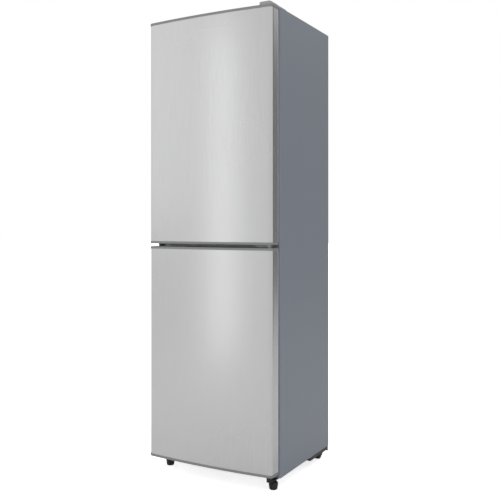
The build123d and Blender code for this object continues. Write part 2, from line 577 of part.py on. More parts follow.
ROLLER_SLOT_Y = (ROLLER_Y - ROLLER_R - 2, ROLLER_Y + ROLLER_R + 2)
ROLLER_SLOT_HALF = ROLLER_W / 2 + 2
EAR = 2.0
DECK_FRONT_Y = BAY_Y - 14
with BuildPart() as compressor_deck:
    # Pressed plate across the bay: flanged edges, roller slots and the ears that hold the axles.
    slab((-INNER_HALF, INNER_HALF), (DECK_FRONT_Y, BACK_Y - BEAD), (DECK_Z, DECK_Z + DECK))
    slab((-INNER_HALF, INNER_HALF), (DECK_FRONT_Y, DECK_FRONT_Y + DECK), (DECK_Z, UNDERSIDE))
    slab((-INNER_HALF, INNER_HALF), (BACK_Y - BEAD - DECK, BACK_Y - BEAD), (DECK_Z - 6, DECK_Z))
    for edge in (-1, 1):
        slab(sorted((edge * INNER_HALF, edge * (INNER_HALF - DECK))), (BAY_Y, BACK_Y - BEAD),
             (DECK_Z, UNDERSIDE + 20))
        slot_x = (edge * ROLLER_X - ROLLER_SLOT_HALF, edge * ROLLER_X + ROLLER_SLOT_HALF)
        slab(slot_x, ROLLER_SLOT_Y, (DECK_Z, DECK_Z + DECK), mode=Mode.SUBTRACT)
        for ear_x in (slot_x[0] - EAR, slot_x[1]):
            with BuildSketch(side(ear_x)) as ear:
                with BuildLine():
                    Polyline((ROLLER_Y - 18, DECK_Z + DECK), (ROLLER_Y - 7, ROLLER_R - 6),
                             (ROLLER_Y + 7, ROLLER_R - 6), (ROLLER_Y + 18, DECK_Z + DECK), close=True)
                make_face()
            extrude(ear.sketch, amount=EAR)
        # The axle is riveted over outside both ears.
        rod((slot_x[0] - EAR - 1, ROLLER_Y, ROLLER_R), (1, 0, 0), AXLE_R, 2 * (ROLLER_SLOT_HALF + EAR) + 2)
    # Raised seats with studs for the four rubber mounts.
    for x, y in [(COMPRESSOR_X + sx * 85, BAY_Y + BAY_DEPTH / 2 + sy * 42) for sx in (-1, 1) for sy in (-1, 1)]:
        rod((x, y, DECK_Z + DECK), (0, 0, 1), 11, 2)
        rod((x, y, DECK_Z + DECK), (0, 0, 1), 3, MOUNT_H + 14)
save(compressor_deck, "compressor_deck")

for label, edge in (("roller_left", -1), ("roller_right", 1)):
    with BuildPart() as roller:
        # A plastic wheel with a crowned tread and dished faces.
        with BuildSketch(Plane.XZ):
            with BuildLine():
                Polyline((-ROLLER_W / 2, AXLE_R + RUN), (-ROLLER_W / 2, AXLE_R + 5), (-ROLLER_W / 2 + 4, AXLE_R + 7),
                         (-ROLLER_W / 2 + 1, ROLLER_R - 4), (-ROLLER_W / 2 + 3, ROLLER_R - 0.6))
                ThreePointArc((-ROLLER_W / 2 + 3, ROLLER_R - 0.6), (0, ROLLER_R), (ROLLER_W / 2 - 3, ROLLER_R - 0.6))
                Polyline((ROLLER_W / 2 - 3, ROLLER_R - 0.6), (ROLLER_W / 2 - 1, ROLLER_R - 4),
                         (ROLLER_W / 2 - 4, AXLE_R + 7), (ROLLER_W / 2, AXLE_R + 5), (ROLLER_W / 2, AXLE_R + RUN),
                         (-ROLLER_W / 2, AXLE_R + RUN))
            make_face()
        revolve(axis=Axis.X)
        roller.part.position = (edge * ROLLER_X, ROLLER_Y, ROLLER_R)
    save(roller, label)

# ================================================================ machine bay
COMPRESSOR_Y = BAY_Y + BAY_DEPTH / 2
MOUNT_TOP_Z = DECK_Z + DECK + 2 + MOUNT_H
SHELL_Z = MOUNT_TOP_Z + 2
SEAM_Z = SHELL_Z + COMPRESSOR_LOW_H
COMPRESSOR_TOP_Z = SEAM_Z + COMPRESSOR_HIGH_H
MOUNT_XY = [(COMPRESSOR_X + sx * 85, COMPRESSOR_Y + sy * 42) for sx in (-1, 1) for sy in (-1, 1)]


def hull_oval(z, grow=0.0):
    """The compressor's oval plan at a height."""
    with BuildSketch(level(z)) as oval:
        with Locations((COMPRESSOR_X, COMPRESSOR_Y)):
            SlotOverall(COMPRESSOR_L + 2 * grow, COMPRESSOR_W + 2 * grow)
    return oval.sketch


with BuildPart() as compressor:
    # Two deep-drawn halves welded at a flange, standing on a pressed foot plate.
    extrude(hull_oval(SEAM_Z), amount=-COMPRESSOR_LOW_H, taper=2)
    fillet(compressor.faces().sort_by(Axis.Z)[0].edges(), 22)
    extrude(hull_oval(SEAM_Z, -2), amount=COMPRESSOR_HIGH_H, taper=4)
    fillet(compressor.faces().sort_by(Axis.Z)[-1].edges(), 30)
    extrude(hull_oval(SEAM_Z - 3, 4), amount=6)
    with BuildSketch(level(MOUNT_TOP_Z)):
        with Locations((COMPRESSOR_X, COMPRESSOR_Y)):
            RectangleRounded(2 * 85 + 28, 60, 6)
        with Locations(*MOUNT_XY):
            RectangleRounded(28, 28, 6)
        with Locations(*[(x, COMPRESSOR_Y) for x in (COMPRESSOR_X - 85, COMPRESSOR_X + 85)]):
            Rectangle(28, 84)
        with Locations(*MOUNT_XY):
            Circle(4, mode=Mode.SUBTRACT)
    extrude(amount=2.5)
save(compressor, "compressor")

with BuildPart() as compressor_mounts:
    # Waisted rubber bushes on the deck's studs.
    for x, y in MOUNT_XY:
        with BuildSketch(Plane(origin=(x, y, DECK_Z + DECK + 2), x_dir=(1, 0, 0), z_dir=(0, -1, 0))) as half_mount:
            with BuildLine():
                Polyline((3.1, 0), (11, 0), (11, 3), (8, 5), (8, MOUNT_H - 4), (10, MOUNT_H - 2),
                         (10, MOUNT_H), (3.1, MOUNT_H), close=True)
            make_face()
        revolve(half_mount.sketch, axis=Axis((x, y, 0), (0, 0, 1)))
save(compressor_mounts, "compressor_mounts")

RELAY_X = COMPRESSOR_X + COMPRESSOR_L / 2 - 4
RELAY_SIZE = (34.0, 56.0, 62.0)
RELAY_Z = SHELL_Z + 12
RELAY_REAR_Y = COMPRESSOR_Y + RELAY_SIZE[1] / 2
INLET_R = 6.0
with BuildPart() as relay_cover:
    # Moulded cover over the starter, open towards the compressor.
    slab((RELAY_X, RELAY_X + RELAY_SIZE[0]), (COMPRESSOR_Y - RELAY_SIZE[1] / 2, RELAY_REAR_Y),
         (RELAY_Z, RELAY_Z + RELAY_SIZE[2]))
    fillet(relay_cover.edges().filter_by(Axis.X), 6)
    fillet(relay_cover.faces().sort_by(Axis.X)[-1].edges(), 4)
    offset(amount=-2, openings=relay_cover.faces().sort_by(Axis.X)[0])
    add(compressor.part, mode=Mode.SUBTRACT)
    rod((RELAY_X + 22, RELAY_REAR_Y - 6, RELAY_Z + 20), (0, 1, 0), INLET_R, 10, mode=Mode.SUBTRACT)
save(relay_cover, "relay_cover")

with BuildPart() as cord_inlet:
    # Gland for the mains lead: a bore through a flanged, snap-in bush.
    rod((RELAY_X + 22, RELAY_REAR_Y - 4, RELAY_Z + 20), (0, 1, 0), INLET_R - RUN, 9)
    rod((RELAY_X + 22, RELAY_REAR_Y, RELAY_Z + 20), (0, 1, 0), INLET_R + 3, 3)
    fillet(cord_inlet.faces().sort_by(Axis.Y)[-1].edges(), 1)
    rod((RELAY_X + 22, RELAY_REAR_Y - 5, RELAY_Z + 20), (0, 1, 0), 3.5, 12, mode=Mode.SUBTRACT)
save(cord_inlet, "cord_inlet")

DRIER_X = COMPRESSOR_X - COMPRESSOR_L / 2 - 62
DRIER_Z = (70.0, 160.0)
DRIER_R = 9.0
with BuildPart() as refrigerant_pipes:
    # Discharge to the condenser, condenser to the drier, drier to the evaporators, suction back.
    left_end = COMPRESSOR_X - COMPRESSOR_L / 2
    tube([(left_end + 6, COMPRESSOR_Y + 22, SEAM_Z - 30), (left_end - 24, COMPRESSOR_Y + 22, SEAM_Z - 30),
          (left_end - 24, COMPRESSOR_Y + 46, SEAM_Z - 30), (left_end - 24, COMPRESSOR_Y + 46, BAY_TOP_Z - SHEET)],
         PIPE_R, 11)
    tube([(left_end + 6, COMPRESSOR_Y - 22, SEAM_Z - 24), (left_end - 30, COMPRESSOR_Y - 22, SEAM_Z - 24),
          (left_end - 30, BAY_Y, SEAM_Z - 24)], PIPE_R, 11)
    tube([(DRIER_X, COMPRESSOR_Y, DRIER_Z[1] + 14), (DRIER_X, COMPRESSOR_Y, DRIER_Z[1] + 42),
          (DRIER_X, BAY_Y, DRIER_Z[1] + 42)], PIPE_R - 1, 11)
    tube([(DRIER_X, COMPRESSOR_Y, DRIER_Z[0] - 14), (DRIER_X, COMPRESSOR_Y, DRIER_Z[0] - 28),
          (DRIER_X - 40, COMPRESSOR_Y, DRIER_Z[0] - 28), (DRIER_X - 40, COMPRESSOR_Y, BAY_TOP_Z - SHEET)],
         PIPE_R, 10)
    # The filter drier, a copper pot necked down at both ends, is brazed between them.
    with BuildSketch(Plane(origin=(DRIER_X, COMPRESSOR_Y, 0), z_dir=(0, -1, 0), x_dir=(1, 0, 0))) as pot:
        with BuildLine():
            Polyline((0, DRIER_Z[0] - 14), (PIPE_R + 1, DRIER_Z[0] - 14), (PIPE_R + 1, DRIER_Z[0] - 4),
                     (DRIER_R, DRIER_Z[0] + 6), (DRIER_R, DRIER_Z[1] - 6), (PIPE_R + 1, DRIER_Z[1] + 4),
                     (PIPE_R + 1, DRIER_Z[1] + 14), (0, DRIER_Z[1] + 14), close=True)
        make_face()
    revolve(pot.sketch, axis=Axis((DRIER_X, COMPRESSOR_Y, 0), (0, 0, 1)))
    add(compressor.part, mode=Mode.SUBTRACT)
save(refrigerant_pipes, "refrigerant_pipes")

TRAY_X = (COMPRESSOR_X - 88, COMPRESSOR_X + 88)
with BuildPart() as drip_tray:
    # Meltwater pan that rides on the warm compressor.
    slab(TRAY_X, (COMPRESSOR_Y - 52, COMPRESSOR_Y + 58), (COMPRESSOR_TOP_Z + SEAT, DRIP_TRAY_TOP))
    fillet(drip_tray.edges().filter_by(Axis.Z), 12)
    fillet(drip_tray.faces().sort_by(Axis.Z)[0].edges(), 4)
    offset(amount=-2, openings=drip_tray.faces().sort_by(Axis.Z)[-1])
save(drip_tray, "drip_tray")


# ================================================================ doors
def door_plan(inset, back_y, z, rear_r=0.0):
    """Plan of a door at a height: bowed front, rounded corners, straight sides."""
    half = SKIN_HALF - inset
    front = EDGE_Y + inset
    with BuildSketch(level(z)) as plan:
        with BuildLine():
            ThreePointArc((-half, front), (0, front - DOOR_BOW), (half, front))
            Polyline((half, front), (half, back_y), (-half, back_y), (-half, front))
        make_face()
        fillet(plan.vertices().sort_by(Axis.Y)[:2], CORNER_R - inset)
        if rear_r:
            fillet(plan.vertices().sort_by(Axis.Y)[-2:], rear_r)
    return plan.sketch


def seal_ring(z, inset, width, y, depth):
    """One rounded rectangular ring of the door seal."""
    with BuildSketch(across(y)) as ring:
        middle = (z[0] + z[1]) / 2
        centred(0, middle, 2 * (HALF - inset), z[1] - z[0] - 2 * (inset - SEAL_INSET), 10)
        centred(0, middle, 2 * (HALF - inset - width), z[1] - z[0] - 2 * (inset - SEAL_INSET + width), 6,
                mode=Mode.SUBTRACT)
    extrude(ring.sketch, amount=-depth)


def bush_holes(z, up):
    """The hole for a hinge bush, from the end face of a door inwards."""
    rod((PIN_X, PIN_Y, z), (0, 0, 1 if up else -1), BUSH_R + RUN, PIN_IN_DOOR + 3, mode=Mode.SUBTRACT)


def end_cap(name, z, inwards, grip):
    """A moulded end cap: flared band, plug inside the skin, bush hole and finger grip."""
    with BuildPart() as cap:
        extrude(door_plan(-CAP_PROUD, DOOR_BACK_Y + 1, z, CAP_REAR_R), amount=inwards * CAP_BAND)
        fillet(cap.faces().sort_by(Axis.Z)[0 if inwards > 0 else -1].edges().group_by(Axis.Y)[0], 1.5)
        extrude(door_plan(SKIN + 0.1, DOOR_BACK_Y - LINER - SKIN, z + inwards * CAP_BAND),
                amount=inwards * CAP_PLUG)
        bush_holes(z, inwards > 0)
        if grip:
            with BuildSketch(level(z)) as scoop:
                centred(-SKIN_HALF + 30 + GRIP_W / 2, EDGE_Y + 10 + GRIP_BACK / 2, GRIP_W, GRIP_BACK, 6)
            extrude(scoop.sketch, amount=inwards * GRIP_DEEP, taper=8, mode=Mode.SUBTRACT)
    save(cap, name)
    return cap.part


def dyke_form(z, half, reach, grow, open_middle):
    """The raised ridge on a door liner, thinned by a distance: a ring, or a full plateau."""
    low, high = z[0] + DYKE_IN, z[1] - DYKE_IN
    with BuildPart() as form:
        with BuildSketch(across(DOOR_BACK_Y)):
            centred(0, (low + high) / 2, 2 * (half - grow), high - low - 2 * grow, 12)
        extrude(amount=-(SEAL_GAP + reach - grow), taper=6)
        fillet(form.faces().sort_by(Axis.Y)[-1].edges(), 5)
        if open_middle:
            with BuildSketch(across(DOOR_BACK_Y)):
                centred(0, (low + high) / 2, 2 * (half - DYKE_W + grow), high - low - 2 * (DYKE_W - grow), 10)
            extrude(amount=-(SEAL_GAP + reach), taper=-6, mode=Mode.SUBTRACT)
    return form.part


def build_door(side_name, z, dyke_half, dyke, open_middle, grips):
    """Every fixed piece of one door between two heights."""
    skin_z = (z[0] + CAP_BAND, z[1] - CAP_BAND)
    lower_cap = end_cap(f"{side_name}_bottom_cap", z[0], 1, grips[0])
    upper_cap = end_cap(f"{side_name}_top_cap", z[1], -1, grips[1])

    with BuildPart() as skin:
        # One sheet wraps the bowed front and both sides and turns in at the back.
        extrude(door_plan(0, DOOR_BACK_Y - LINER, skin_z[0]), amount=skin_z[1] - skin_z[0])
        extrude(door_plan(SKIN, DOOR_BACK_Y - LINER - SKIN, skin_z[0]), amount=skin_z[1] - skin_z[0],
                mode=Mode.SUBTRACT)
        slab((-SKIN_HALF + 10, SKIN_HALF - 10), (DOOR_BACK_Y - LINER - SKIN, DOOR_BACK_Y), skin_z,
             mode=Mode.SUBTRACT)
    save(skin, f"{side_name}_skin")

    with BuildPart() as liner:
        # Vacuum-formed inner panel: flat under the seal, raised inside it.
        slab((-SKIN_HALF, SKIN_HALF), (DOOR_BACK_Y - LINER, DOOR_BACK_Y), skin_z)
        add(dyke_form(z, dyke_half, dyke, 0, open_middle))
        add(dyke_form(z, dyke_half, dyke, LINER, open_middle), mode=Mode.SUBTRACT)
        with BuildSketch(across(DOOR_BACK_Y - LINER - 1)) as pocket:
            low, high = z[0] + DYKE_IN, z[1] - DYKE_IN
            centred(0, (low + high) / 2, 2 * (dyke_half - LINER), high - low - 2 * LINER, 12)
            if open_middle:
                centred(0, (low + high) / 2, 2 * (dyke_half - DYKE_W + LINER),
                        high - low - 2 * (DYKE_W - LINER), 10, mode=Mode.SUBTRACT)
        extrude(pocket.sketch, amount=-(LINER + 1), mode=Mode.SUBTRACT)
    save(liner, f"{side_name}_liner")

    with BuildPart() as foam:
        extrude(door_plan(SKIN, DOOR_BACK_Y - LINER - SKIN, skin_z[0]), amount=skin_z[1] - skin_z[0])
        add(lower_cap, mode=Mode.SUBTRACT)
        add(upper_cap, mode=Mode.SUBTRACT)
        bush_holes(z[0], True)
        bush_holes(z[1], False)
        for scooped, end, inwards in ((grips[0], z[0], 1), (grips[1], z[1], -1)):
            if scooped:
                slab((-SKIN_HALF + 30, -SKIN_HALF + 30 + GRIP_W), (EDGE_Y + 10, EDGE_Y + 10 + GRIP_BACK),
                     sorted((end, end + inwards * (CAP_BAND + CAP_PLUG))), mode=Mode.SUBTRACT)
    save(foam, f"{side_name}_foam")

    with BuildPart() as gasket:
        # Snap-in foot, two bellows and the magnet rib that meets the cabinet.
        seal_z = (z[0] + SEAL_INSET, z[1] - SEAL_INSET)
        step = (SEAL_GAP - SEAT) / 4
        seal_ring(seal_z, SEAL_INSET, SEAL_W, DOOR_BACK_Y, step)
        seal_ring(seal_z, SEAL_INSET + 3, SEAL_W - 6, DOOR_BACK_Y + step, step)
        seal_ring(seal_z, SEAL_INSET + 1, SEAL_W - 3, DOOR_BACK_Y + 2 * step, 2 * step)
    save(gasket, f"{side_name}_gasket")

    with BuildPart() as bushes:
        # Flanged plastic bushes that turn on the hinge pins.
        for end, inwards in ((z[0], 1), (z[1], -1)):
            rod((PIN_X, PIN_Y, end), (0, 0, inwards), BUSH_R, PIN_IN_DOOR + 2)
            rod((PIN_X, PIN_Y, end), (0, 0, -inwards), BUSH_R + 2, BUSH_RIM)
            rod((PIN_X, PIN_Y, end - inwards * BUSH_RIM), (0, 0, inwards), PIN_R + RUN,
                BUSH_RIM + PIN_IN_DOOR + 1, mode=Mode.SUBTRACT)
    save(bushes, f"{side_name}_bushes")


build_door("upper_door", (UPPER_DOOR_Z, UPPER_TOP_Z), DYKE_FRIDGE_HALF, DYKE_FRIDGE, True, (True, False))
build_door("lower_door", (LOWER_DOOR_Z, SPLIT_Z), DYKE_FREEZER_HALF, DYKE_FREEZER, False, (False, True))

RACK_SIDE = DYKE_FRIDGE_HALF - DYKE_W - SEAT  # hooked between the liner's ridges


RIM = 3.0  # how far a rack's rim stands out
RIM_H = 6.0


def rack_plan(inset, z):
    """Plan of a door rack: straight at the door, its far corners well rounded."""
    with BuildSketch(level(z)) as plan:
        with Locations((0, RACK_Y + RACK_DEPTH / 2)):
            Rectangle(2 * (RACK_HALF - inset), RACK_DEPTH - 2 * inset)
        fillet(plan.vertices().sort_by(Axis.Y)[2:], 26 - inset)
    return plan.sketch


for label, rack_z, rack_h in zip(("bottle_rack", "middle_rack", "top_rack"), RACK_ZS, RACK_HS):
    with BuildPart() as rack:
        # A tray that narrows downwards, with a stiffened rim and hooks beside the ridges.
        rim_z = rack_z + rack_h
        extrude(rack_plan(RIM, rim_z), amount=-rack_h, taper=3)
        fillet(rack.faces().sort_by(Axis.Z)[0].edges(), 4)
        extrude(rack_plan(0, rim_z), amount=-RIM_H)
        extrude(rack_plan(RIM + BIN_WALL, rim_z), amount=BIN_WALL - rack_h, taper=3, mode=Mode.SUBTRACT)
        for edge in (-1, 1):
            slab(sorted((edge * (RACK_HALF - RIM), edge * RACK_SIDE)), (RACK_Y, RACK_Y + 16), (rim_z - 34, rim_z))
        slab((-RACK_HALF + 18, RACK_HALF - 18), (RACK_Y, RACK_Y + 30), (rim_z - 18, rim_z), mode=Mode.SUBTRACT)
    save(rack, label)

EGG_PITCH = 46.0
EGG_COLUMNS = 5
EGG_R = 20.0
EGG_Z = RACK_ZS[2] + BIN_WALL + 22
with BuildPart() as egg_tray:
    # A thin sheet on short legs with two rows of round seats.
    with BuildSketch(level(EGG_Z)):
        with Locations((0, RACK_Y + 46)):
            RectangleRounded(EGG_PITCH * EGG_COLUMNS + 16, 78, 8)
    extrude(amount=BIN_WALL)
    for corner_x in (-1, 1):
        slab(sorted((corner_x * (EGG_PITCH * EGG_COLUMNS / 2 + 4), corner_x * (EGG_PITCH * EGG_COLUMNS / 2 + 6))),
             (RACK_Y + 18, RACK_Y + 74), (RACK_ZS[2] + BIN_WALL + SEAT, EGG_Z))
    with Locations(Plane(origin=(0, RACK_Y + 46, EGG_Z + BIN_WALL), z_dir=(0, 0, 1)).location):
        with GridLocations(EGG_PITCH, 38, EGG_COLUMNS, 2):
            CounterBoreHole(EGG_R - 5, EGG_R - 2.5, BIN_WALL / 2)
save(egg_tray, "egg_tray")

# ================================================================ fridge interior
SHELF_HALF = FRIDGE_HALF - SHELF_SIDE
TRIM_GRIP = 7.0  # pane held inside a trim
with BuildPart() as glass_shelves:
    for shelf_z in SHELF_ZS:
        with BuildSketch(level(shelf_z)):
            centred(0, SHELF_MID_Y, 2 * SHELF_HALF, SHELF_DEPTH - 2 * (TRIM_D - TRIM_GRIP), 4)
        extrude(amount=GLASS)
save(glass_shelves, "glass_shelves")


def trim_bar(y, z, facing):
    """A rounded plastic bar that grips a pane's edge, its mouth facing forwards or back."""
    with BuildSketch(side(-SHELF_HALF)) as bar:
        centred(y, z + GLASS / 2, TRIM_D, TRIM_H, 3)
        with Locations((y + facing * (TRIM_D - TRIM_GRIP) / 2, z + GLASS / 2)):
            Rectangle(TRIM_GRIP, GLASS, mode=Mode.SUBTRACT)
    extrude(bar.sketch, amount=2 * SHELF_HALF)


with BuildPart() as shelf_trims:
    # Front and rear edge trims of the glass shelves.
    for shelf_z in SHELF_ZS:
        trim_bar(SHELF_FRONT_Y + TRIM_D / 2, shelf_z, 1)
        trim_bar(FRIDGE_REAR_Y - SHELF_BACK - TRIM_D / 2, shelf_z, -1)
save(shelf_trims, "shelf_trims")

CRISPER_FRONT_Y = FRONT_Y + CRISPER_BACK
with BuildPart() as crisper_lid:
    # Glass lid over the crisper, its front trim turned down over the drawer's rim.
    with BuildSketch(level(CRISPER_LID_Z)):
        with Locations((0, SHELF_MID_Y)):
            RectangleRounded(2 * SHELF_HALF, SHELF_DEPTH, 4)
    extrude(amount=GLASS)
    with BuildSketch(side(-SHELF_HALF)) as lid_trim:
        with Locations((SHELF_FRONT_Y - 3, CRISPER_LID_Z + GLASS / 2 + 0.5)):
            RectangleRounded(8, GLASS + 5, 2.5)
    extrude(amount=2 * SHELF_HALF)
save(crisper_lid, "crisper_lid")


def bin_shape(x_half, y, z, radius, taper, mode=Mode.ADD):
    """A block with rounded corners that narrows downwards from its top outline."""
    with BuildSketch(level(z[1])) as brim:
        centred(0, (y[0] + y[1]) / 2, 2 * x_half, y[1] - y[0], radius)
    extrude(brim.sketch, amount=z[0] - z[1], taper=taper, mode=mode)


def open_bin(x_half, y, z, radius, taper):
    """A thin-walled open bin inside a top outline, its floor edge rounded."""
    with BuildPart(mode=Mode.PRIVATE) as shell:
        bin_shape(x_half, y, z, radius, taper)
        fillet(shell.faces().sort_by(Axis.Z)[0].edges(), 6)
        bin_shape(x_half - BIN_WALL, (y[0] + BIN_WALL, y[1] - BIN_WALL), (z[0] + BIN_WALL, z[1]),
                  radius - BIN_WALL, taper, Mode.SUBTRACT)
    add(shell.part)


CRISPER_HALF = FRIDGE_HALF - 5
with BuildPart() as crisper_drawer:
    # Clear bin with a rolled rim and a pull lip along its front.
    crisper_y = (CRISPER_FRONT_Y + 16, FRIDGE_REAR_Y - 24)
    bin_z = (FRIDGE_FLOOR_Z + SEAT, FRIDGE_FLOOR_Z + CRISPER_H)
    open_bin(CRISPER_HALF - 8, crisper_y, bin_z, 16, 3)
    with BuildSketch(level(bin_z[1] - 3)):
        rim_y, rim_d = (crisper_y[0] + crisper_y[1]) / 2, crisper_y[1] - crisper_y[0]
        centred(0, rim_y, 2 * CRISPER_HALF, rim_d + 16, 20)
        centred(0, rim_y, 2 * (CRISPER_HALF - 8 - BIN_WALL), rim_d - 2 * BIN_WALL, 14, mode=Mode.SUBTRACT)
    extrude(amount=3)
    with BuildSketch(side(-CRISPER_HALF + 20)):
        with BuildLine():
            Polyline((CRISPER_FRONT_Y + 10, bin_z[1]), (CRISPER_FRONT_Y, bin_z[1]), (CRISPER_FRONT_Y, bin_z[1] - 22),
                     (CRISPER_FRONT_Y + 2.4, bin_z[1] - 22), (CRISPER_FRONT_Y + 2.4, bin_z[1] - 3),
                     (CRISPER_FRONT_Y + 10, bin_z[1] - 3), close=True)
        make_face()
    extrude(amount=2 * (CRISPER_HALF - 20))
save(crisper_drawer, "crisper_drawer")

BOX_HALF = 95.0
BOX_Y = (FRONT_Y + 78, FRONT_Y + 250)
BOX_H = 42.0
LAMP_Y = (BOX_Y[0] + 60, BOX_Y[1] - 14)
KNOB_X = 52.0
KNOB_Z = FRIDGE_TOP_Z - BOX_H / 2
with BuildPart() as thermostat_housing:
    # Moulded console on the ceiling: raked nose, hollow behind it for the lamp.
    with BuildSketch(side(-BOX_HALF)):
        with BuildLine():
            Polyline((BOX_Y[0], FRIDGE_TOP_Z - SEAT), (BOX_Y[0], FRIDGE_TOP_Z - BOX_H + 8), (BOX_Y[0] + 14, FRIDGE_TOP_Z - BOX_H),
                     (BOX_Y[1], FRIDGE_TOP_Z - BOX_H), (BOX_Y[1], FRIDGE_TOP_Z - SEAT), close=True)
        make_face()
    extrude(amount=2 * BOX_HALF)
    fillet(thermostat_housing.edges().filter_by(Axis.Z), 6)
    slab((-BOX_HALF + 10, BOX_HALF - 10), LAMP_Y, (FRIDGE_TOP_Z - BOX_H - 1, FRIDGE_TOP_Z - 6), mode=Mode.SUBTRACT)
    rod((KNOB_X, BOX_Y[0] - 1, KNOB_Z), (0, 1, 0), 4 + RUN, 19, mode=Mode.SUBTRACT)
save(thermostat_housing, "thermostat_housing")

with BuildPart() as lamp_cover:
    # Ribbed lens that clips into the console's underside.
    slab((-BOX_HALF + 10 + SEAT, BOX_HALF - 10 - SEAT), (LAMP_Y[0] + SEAT, LAMP_Y[1] - SEAT),
         (FRIDGE_TOP_Z - BOX_H - 1.6, FRIDGE_TOP_Z - BOX_H + 1.6))
    with BuildSketch(level(FRIDGE_TOP_Z - BOX_H - 1.6)):
        with Locations((0, (LAMP_Y[0] + LAMP_Y[1]) / 2)):
            with GridLocations(14, 0, 11, 1):
                SlotOverall(LAMP_Y[1] - LAMP_Y[0] - 14, 6, rotation=90)
    extrude(amount=-1.2)
save(lamp_cover, "lamp_cover")

BULB_R = 12.0
with BuildPart() as lamp_bulb:
    # Small bulb in its screw cap, lying across the console.
    with BuildSketch(Plane.XZ):
        with BuildLine():
            Polyline((0, 0), (-30, 0), (-30, 9), (-8, 9), (-8, 7))
            Spline((-8, 7), (8, BULB_R), (18, 9.5), (24, 0), tangents=[(1, 0.3), (0, -1)])
            Line((24, 0), (0, 0))
        make_face()
    revolve(axis=Axis.X)
    lamp_bulb.part.position = (-BOX_HALF + 10 + 30 + SEAT, (LAMP_Y[0] + LAMP_Y[1]) / 2, FRIDGE_TOP_Z - 6 - BULB_R - 3)
save(lamp_bulb, "lamp_bulb")

KNOB_R = 16.0
with BuildPart() as thermostat_knob:
    # Fluted knob on a round spindle, a raised pointer across its face.
    with BuildSketch(Plane.XZ):
        Circle(KNOB_R)
        with PolarLocations(KNOB_R + 0.8, 18):
            Circle(1.7, mode=Mode.SUBTRACT)
    extrude(amount=12, taper=4)
    with BuildSketch(Plane.XZ.offset(12)):
        SlotOverall(1.6 * KNOB_R, 5, rotation=90)
    extrude(amount=4, taper=8)
    with BuildSketch(Plane.XZ):
        Circle(4)
    extrude(amount=-16)
    thermostat_knob.part.position = (KNOB_X, BOX_Y[0] - SEAT, KNOB_Z)
save(thermostat_knob, "thermostat_knob")

SWITCH_X = FRIDGE_HALF - 59.5
SWITCH_Y = (FRONT_Y + DYKE_FRIDGE + 11, FRONT_Y + DYKE_FRIDGE + 41)
SWITCH_Z = FRIDGE_TOP_Z - 13
BUTTON_R = 4.0
with BuildPart() as light_switch:
    # Small box on the ceiling that holds the door switch.
    slab((SWITCH_X - 12, SWITCH_X + 12), SWITCH_Y, (FRIDGE_TOP_Z - 24, FRIDGE_TOP_Z - SEAT))
    fillet(light_switch.faces().sort_by(Axis.Z)[0].edges(), 4)
    rod((SWITCH_X, SWITCH_Y[0] - 1, SWITCH_Z), (0, 1, 0), BUTTON_R + RUN, 25, mode=Mode.SUBTRACT)
save(light_switch, "light_switch")

with BuildPart() as light_switch_button:
    # Round-ended plunger that the door ridge holds in.
    rod((SWITCH_X, FRONT_Y + DYKE_FRIDGE + 1, SWITCH_Z), (0, 1, 0), BUTTON_R, 26)
    fillet(light_switch_button.faces().sort_by(Axis.Y)[0].edges(), 2.5)
save(light_switch_button, "light_switch_button")

# ================================================================ freezer interior
EVAP_HALF = FREEZER_HALF - EVAP_SIDE
EVAP_RUNS = 6
WIRE_COUNT = 17
with BuildPart() as cooling_shelves:
    # Three wire-on-tube evaporator shelves, one circuit: tubes to and fro, wires laid across,
    # and the risers that join the levels at the back.
    evap_depth = EVAP_REAR_Y - EVAP_FRONT_Y
    run_pitch = (evap_depth - 40) / (EVAP_RUNS - 1)
    with BuildPart(mode=Mode.PRIVATE) as one_level:
        with BuildSketch(across(EVAP_FRONT_Y)):
            with Locations((0, TUBE_R + WIRE_R / 2)):
                with GridLocations(2 * (EVAP_HALF - 30) / (WIRE_COUNT - 1), 0, WIRE_COUNT, 1):
                    RegularPolygon(WIRE_R, 6)
        extrude(amount=-evap_depth)
        tube([(-EVAP_HALF + 2 * TUBE_R + along, EVAP_FRONT_Y + 20 + over, 0)
              for along, over in to_and_fro(EVAP_RUNS, run_pitch, 2 * EVAP_HALF - 4 * TUBE_R)],
             TUBE_R, run_pitch / 2 - 1)
        for bar_y in (EVAP_FRONT_Y + 2, EVAP_REAR_Y - 2):
            rod((-EVAP_HALF + 1, bar_y, TUBE_R), (1, 0, 0), 1.6, 2 * EVAP_HALF - 2)
    with Locations(*[(0, 0, shelf_z) for shelf_z in EVAP_ZS]):
        add(one_level.part)
    for low_z, high_z in zip(EVAP_ZS[:-1], EVAP_ZS[1:]):
        rod((-EVAP_HALF + 2 * TUBE_R, EVAP_FRONT_Y + 20 + (EVAP_RUNS - 1) * run_pitch, low_z + TUBE_R + RUN),
            (0, 0, 1), TUBE_R - 0.5, high_z - low_z - 2 * (TUBE_R + RUN))
save(cooling_shelves, "cooling_shelves")


